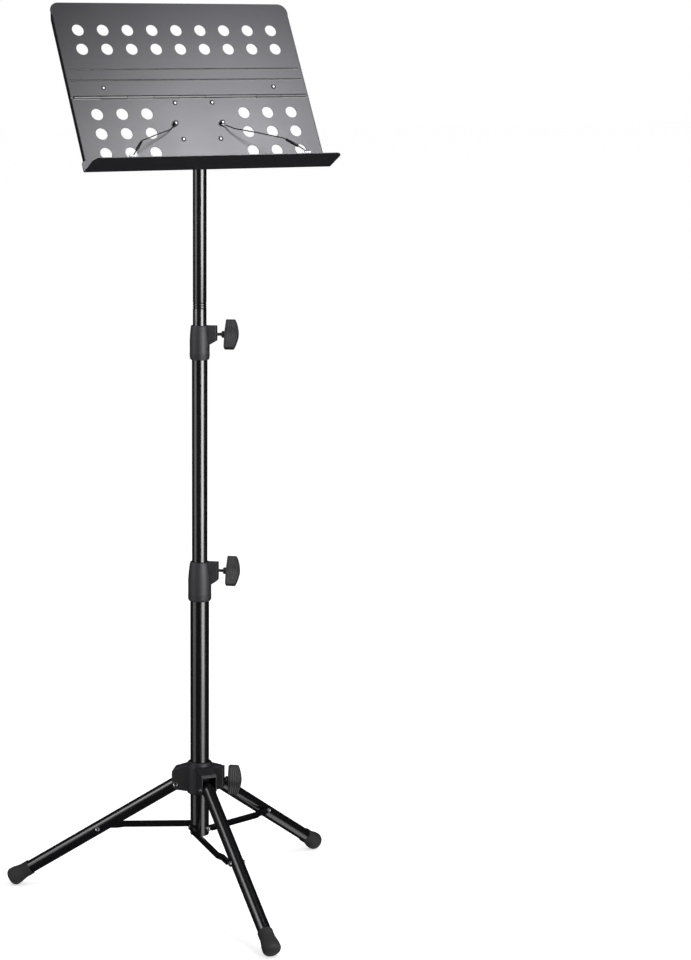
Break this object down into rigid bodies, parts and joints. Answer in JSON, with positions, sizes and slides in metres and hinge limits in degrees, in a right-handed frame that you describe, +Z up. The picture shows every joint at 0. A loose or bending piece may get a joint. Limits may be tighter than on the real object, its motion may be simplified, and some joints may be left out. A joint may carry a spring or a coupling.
{
  "type": "music stand",
  "caption": "Folding sheet-music stand: perforated steel desk with shelf and page arms on a telescopic pole, tripod base with struts, clamp knobs, tilt and desk fold.",
  "frame": {"origin": "on the floor at the pole's axis, midway between the three feet", "axes": "+Z up along the pole, -Y towards the player, +X to the right as seen from the front"},
  "size_m": [0.6473, 0.5974, 1.6557],
  "materials": {
    "black_tube": "gloss powder coat",
    "desk_sheet": "satin powder coat",
    "moulded_black": "satin moulded",
    "foot_rubber": "matte",
    "bright_steel": "zinc plated",
    "black_screw": "blackened",
    "white_nylon": "satin",
    "brass": "machined",
    "spring_wire": "drawn",
    "sleeve_black": "satin",
    "clear_plastic": "gloss"
  },
  "bodies": {
    "base": {"lower_tube": "black_tube", "tube_end_plug": "moulded_black", "strut_pins": "bright_steel", "lower_clamp_sleeve": "moulded_black", "lower_clamp_nut": "brass"},
    "hub": {"hub_body": "moulded_black", "leg_rivets": "bright_steel", "hub_clamp_nut": "brass"},
    "hub_pad": {"hub_pad": "white_nylon"},
    "hub_knob": {"hub_screw": "black_screw", "hub_knob": "moulded_black"},
    "lower_pad": {"lower_pad": "white_nylon"},
    "lower_knob": {"lower_screw": "black_screw", "lower_knob": "moulded_black"},
    "middle_glide": {"middle_glide": "moulded_black"},
    "middle_tube": {"middle_tube": "black_tube", "upper_clamp_sleeve": "moulded_black", "upper_clamp_nut": "brass"},
    "upper_pad": {"upper_pad": "white_nylon"},
    "upper_knob": {"upper_screw": "black_screw", "upper_knob": "moulded_black"},
    "upper_glide": {"upper_glide": "moulded_black"},
    "upper_tube": {"upper_tube": "black_tube", "tilt_head": "moulded_black"},
    "desk": {"desk_bracket": "moulded_black", "bracket_rivets": "bright_steel", "tilt_bolt": "bright_steel", "lower_panel": "desk_sheet", "fold_pin": "bright_steel", "arm_rivets": "bright_steel"},
    "tilt_washer": {"tilt_washer": "bright_steel"},
    "tilt_knob": {"tilt_knob": "moulded_black", "tilt_knob_nut": "brass"},
    "desk_top": {"upper_panel": "desk_sheet", "hinge_leaf": "desk_sheet", "leaf_rivets": "bright_steel"},
    "arm_left": {"arm_wire_left": "spring_wire", "arm_sleeve_left": "sleeve_black", "arm_foot_left": "clear_plastic"},
    "arm_right": {"arm_wire_right": "spring_wire", "arm_sleeve_right": "sleeve_black", "arm_foot_right": "clear_plastic"},
    "leg_1": {"leg_tube_1": "black_tube", "foot_1": "foot_rubber", "leg_pin_1": "bright_steel"},
    "strut_1": {"strut_1": "black_tube", "strut_rivet_1": "bright_steel"},
    "leg_2": {"leg_tube_2": "black_tube", "foot_2": "foot_rubber", "leg_pin_2": "bright_steel"},
    "strut_2": {"strut_2": "black_tube", "strut_rivet_2": "bright_steel"},
    "leg_3": {"leg_tube_3": "black_tube", "foot_3": "foot_rubber", "leg_pin_3": "bright_steel"},
    "strut_3": {"strut_3": "black_tube", "strut_rivet_3": "bright_steel"}
  },
  "joints": [
    {"name": "hub_slide", "type": "slide", "parent": "base", "child": "hub", "axis": [0, 0, 1], "range_m": [0, 0.28295]},
    {"name": "leg_1_hinge", "type": "hinge", "parent": "hub", "child": "leg_1", "pos_m": [0.03965, 0.01765, 0.216], "axis": [-0.4067, 0.9135, 0], "range_deg": [0, 57.7]},
    {"name": "leg_2_hinge", "type": "hinge", "parent": "hub", "child": "leg_2", "pos_m": [-0.03511, 0.02551, 0.216], "axis": [-0.5878, -0.809, 0], "range_deg": [0, 57.7]},
    {"name": "leg_3_hinge", "type": "hinge", "parent": "hub", "child": "leg_3", "pos_m": [-0.00454, -0.04316, 0.216], "axis": [0.9945, -0.1045, 0], "range_deg": [0, 57.7]},
    {"name": "strut_1_hinge", "type": "hinge", "parent": "base", "child": "strut_1", "pos_m": [0.00793, -0.01781, 0.132], "axis": [0.4067, -0.9135, 0], "range_deg": [0, 80.81]},
    {"name": "strut_2_hinge", "type": "hinge", "parent": "base", "child": "strut_2", "pos_m": [0.01146, 0.01578, 0.132], "axis": [0.5878, 0.809, 0], "range_deg": [0, 80.81]},
    {"name": "strut_3_hinge", "type": "hinge", "parent": "base", "child": "strut_3", "pos_m": [-0.01939, 0.00204, 0.132], "axis": [-0.9945, 0.1045, 0], "range_deg": [0, 80.81]},
    {"name": "hub_pad_slide", "type": "slide", "parent": "hub", "child": "hub_pad", "axis": [0.809, -0.5878, 0], "range_m": [0, 0.0019]},
    {"name": "hub_knob_turn", "type": "hinge", "parent": "hub_pad", "child": "hub_knob", "pos_m": [0, 0, 0.226], "axis": [0.809, -0.5878, 0], "range_deg": [0, 540]},
    {"name": "lower_pad_slide", "type": "slide", "parent": "base", "child": "lower_pad", "axis": [0.788, -0.6157, 0], "range_m": [0, 0.0019]},
    {"name": "lower_knob_turn", "type": "hinge", "parent": "lower_pad", "child": "lower_knob", "pos_m": [0, 0, 0.625], "axis": [0.788, -0.6157, 0], "range_deg": [0, 540]},
    {"name": "middle_slide", "type": "slide", "parent": "base", "child": "middle_glide", "axis": [0, 0, 1], "range_m": [-0.35, 0.02]},
    {"name": "middle_swivel", "type": "hinge", "parent": "middle_glide", "child": "middle_tube", "pos_m": [0, 0, 0.54], "axis": [0, 0, 1], "continuous": true},
    {"name": "upper_pad_slide", "type": "slide", "parent": "middle_tube", "child": "upper_pad", "axis": [0.788, -0.6157, 0], "range_m": [0, 0.0019]},
    {"name": "upper_knob_turn", "type": "hinge", "parent": "upper_pad", "child": "upper_knob", "pos_m": [0, 0, 1.063], "axis": [0.788, -0.6157, 0], "range_deg": [0, 540]},
    {"name": "upper_slide", "type": "slide", "parent": "middle_tube", "child": "upper_glide", "axis": [0, 0, 1], "range_m": [-0.245, 0.085]},
    {"name": "desk_swivel", "type": "hinge", "parent": "upper_glide", "child": "upper_tube", "pos_m": [0, 0, 0.86], "axis": [0, 0, 1], "continuous": true},
    {"name": "desk_tilt", "type": "hinge", "parent": "upper_tube", "child": "desk", "pos_m": [0, 0, 1.386], "axis": [1, 0, 0], "range_deg": [-61, 29]},
    {"name": "tilt_washer_slide", "type": "slide", "parent": "desk", "child": "tilt_washer", "axis": [1, 0, 0], "range_m": [0, 0.0019]},
    {"name": "tilt_knob_turn", "type": "hinge", "parent": "tilt_washer", "child": "tilt_knob", "pos_m": [0, 0, 1.386], "axis": [1, 0, 0], "range_deg": [0, 540]},
    {"name": "desk_fold", "type": "hinge", "parent": "desk", "child": "desk_top", "pos_m": [0, 0.03045, 1.4893], "axis": [-1, 0, 0], "range_deg": [-155, 0]},
    {"name": "arm_left_swing", "type": "hinge", "parent": "desk", "child": "arm_left", "pos_m": [-0.047, 0.00417, 1.4419], "axis": [0, 0.8746, -0.4848], "range_deg": [0, 100]},
    {"name": "arm_right_swing", "type": "hinge", "parent": "desk", "child": "arm_right", "pos_m": [0.047, 0.00417, 1.4419], "axis": [0, -0.8746, 0.4848], "range_deg": [0, 100]}
  ],
  "couplings": [
    {"joint": "leg_1_hinge", "follows": "hub_slide", "rad_per_m": 3.5468},
    {"joint": "leg_2_hinge", "follows": "hub_slide", "rad_per_m": 3.5468},
    {"joint": "leg_3_hinge", "follows": "hub_slide", "rad_per_m": 3.5468},
    {"joint": "strut_1_hinge", "follows": "hub_slide", "rad_per_m": 4.9659},
    {"joint": "strut_2_hinge", "follows": "hub_slide", "rad_per_m": 4.9659},
    {"joint": "strut_3_hinge", "follows": "hub_slide", "rad_per_m": 4.9659},
    {"joint": "hub_pad_slide", "follows": "hub_knob_turn", "m_per_rad": 0.00019894},
    {"joint": "lower_pad_slide", "follows": "lower_knob_turn", "m_per_rad": 0.00019894},
    {"joint": "upper_pad_slide", "follows": "upper_knob_turn", "m_per_rad": 0.00019894},
    {"joint": "tilt_washer_slide", "follows": "tilt_knob_turn", "m_per_rad": 0.00019894}
  ]
}
